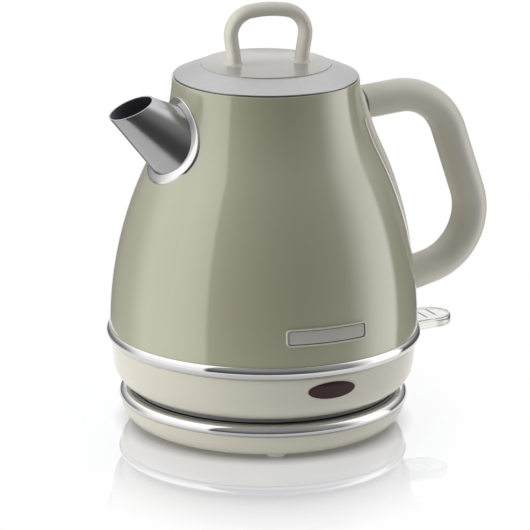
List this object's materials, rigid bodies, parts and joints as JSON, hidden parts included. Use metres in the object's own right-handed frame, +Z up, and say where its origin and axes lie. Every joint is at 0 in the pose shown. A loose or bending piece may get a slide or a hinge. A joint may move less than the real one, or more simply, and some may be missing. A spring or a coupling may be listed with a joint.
{
  "type": "electric kettle",
  "caption": "Tapered round kettle with a straight cone spout, looped handle, lift-out lid with a finger loop and a push-down switch lever, standing on a round power base.",
  "frame": {"origin": "middle of the footprint's box, on the table under the feet", "axes": "+Z up, +X from the spout to the handle, -Y towards the indicator lens"},
  "size_m": [0.2128, 0.16, 0.2178],
  "materials": {
    "cream_gloss_plastic": "glossy cream moulding",
    "satin_cream_plastic": "satin cream moulding",
    "grey_gloss_plastic": "glossy light grey moulding",
    "black_plastic": "matt black moulding",
    "heat_plastic": "matt dark grey heat-proof moulding",
    "milky_plastic": "milky white moulding",
    "chrome_trim": "bright chrome",
    "polished_steel": "mirror-polished stainless steel",
    "satin_steel": "satin stainless steel",
    "pearl_paint": "glossy champagne pearl paint on steel",
    "heater_aluminium": "plain cast aluminium",
    "contact_brass": "bare brass",
    "zinc_steel": "zinc-plated steel",
    "black_rubber": "matt rubber",
    "clear_rubber": "milky silicone rubber",
    "clear_plastic": "clear glossy moulding",
    "dark_red_lens": "dark red tinted glossy lens",
    "lamp_glass": "small neon lamp"
  },
  "bodies": {
    "base": {"base_bowl": "cream_gloss_plastic", "base_trim_ring": "chrome_trim", "base_deck": "black_plastic", "base_connector": "black_plastic", "base_contacts": "contact_brass", "base_feet": "black_rubber", "base_screws": "zinc_steel", "cord_gland": "black_rubber"},
    "connector": {"connector_carrier": "heat_plastic", "connector_pin": "contact_brass", "connector_ring": "contact_brass"},
    "kettle": {"bottom_cover": "heat_plastic", "bottom_screws": "zinc_steel", "lower_skirt": "cream_gloss_plastic", "skirt_trim_ring": "chrome_trim", "heating_plate": "satin_steel", "plate_seal": "clear_rubber", "heat_spreader": "heater_aluminium", "heating_element": "heater_aluminium", "element_terminals": "zinc_steel", "control_unit": "heat_plastic", "bimetal_discs": "contact_brass", "steam_tube": "milky_plastic", "indicator_lens": "dark_red_lens", "indicator_lamp": "lamp_glass", "lamp_holder": "heat_plastic", "lever_bracket": "heat_plastic", "lever_pin": "zinc_steel", "body_shell": "pearl_paint", "spout_tube": "polished_steel", "spout_flange": "polished_steel", "spout_filter": "satin_steel", "handle_grip": "satin_cream_plastic", "handle_backplate": "grey_gloss_plastic", "water_window": "clear_plastic", "window_gasket": "clear_rubber", "handle_screws": "zinc_steel"},
    "lid": {"lid_cap": "satin_steel", "lid_plug": "milky_plastic", "lid_seal": "clear_rubber", "lid_bottom_plate": "satin_steel", "lid_loop": "satin_cream_plastic", "lid_screws": "zinc_steel"},
    "lever": {"switch_lever": "clear_plastic"}
  },
  "joints": [
    {"name": "kettle_lift", "type": "slide", "parent": "base", "child": "connector", "axis": [0, 0, 1], "range_m": [0, 0.06]},
    {"name": "kettle_swivel", "type": "hinge", "parent": "connector", "child": "kettle", "pos_m": [-0.02079, 0, 0.034], "axis": [0, 0, 1], "continuous": true},
    {"name": "lid_lift", "type": "slide", "parent": "kettle", "child": "lid", "axis": [0, 0, 1], "range_m": [0, 0.06]},
    {"name": "switch_lever", "type": "hinge", "parent": "kettle", "child": "lever", "pos_m": [0.03823, 0, 0.037], "axis": [0, 1, 0], "range_deg": [0, 10]}
  ]
}
